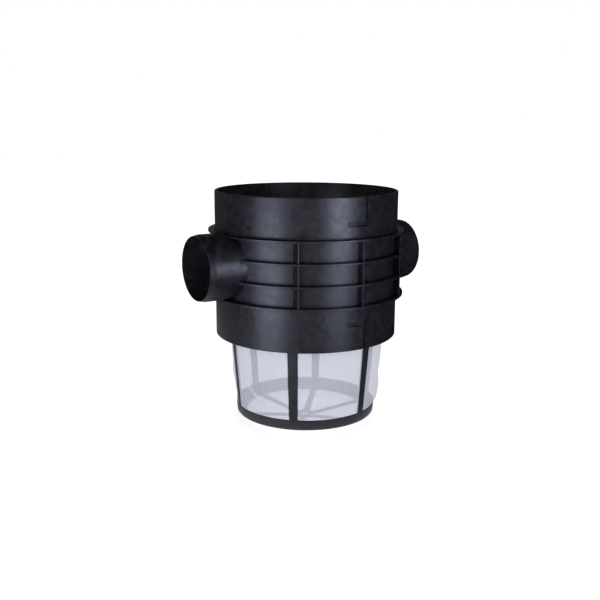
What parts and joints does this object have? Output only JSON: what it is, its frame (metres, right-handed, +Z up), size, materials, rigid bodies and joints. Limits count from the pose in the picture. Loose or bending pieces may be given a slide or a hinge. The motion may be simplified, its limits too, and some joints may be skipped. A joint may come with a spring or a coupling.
{
  "type": "rainwater tank filter",
  "caption": "Round black moulded filter housing, open at top and bottom, with a pipe spigot on each side, ringed by ribs, and a tapered mesh basket hanging inside and below it.",
  "frame": {"origin": "on the housing's upright axis, level with the lowest point of the basket", "axes": "+Z up along the housing's axis, +X along the two pipe spigots"},
  "size_m": [0.421, 0.336, 0.4044],
  "materials": {
    "housing_plastic": "satin moulded black polypropylene",
    "basket_plastic": "satin moulded black polypropylene",
    "filter_cloth": "fine woven white filter cloth, half see-through"
  },
  "bodies": {
    "root": {"housing": "housing_plastic", "basket_frame": "basket_plastic", "side_cloth": "filter_cloth", "floor_cloth": "filter_cloth"}
  },
  "joints": []
}
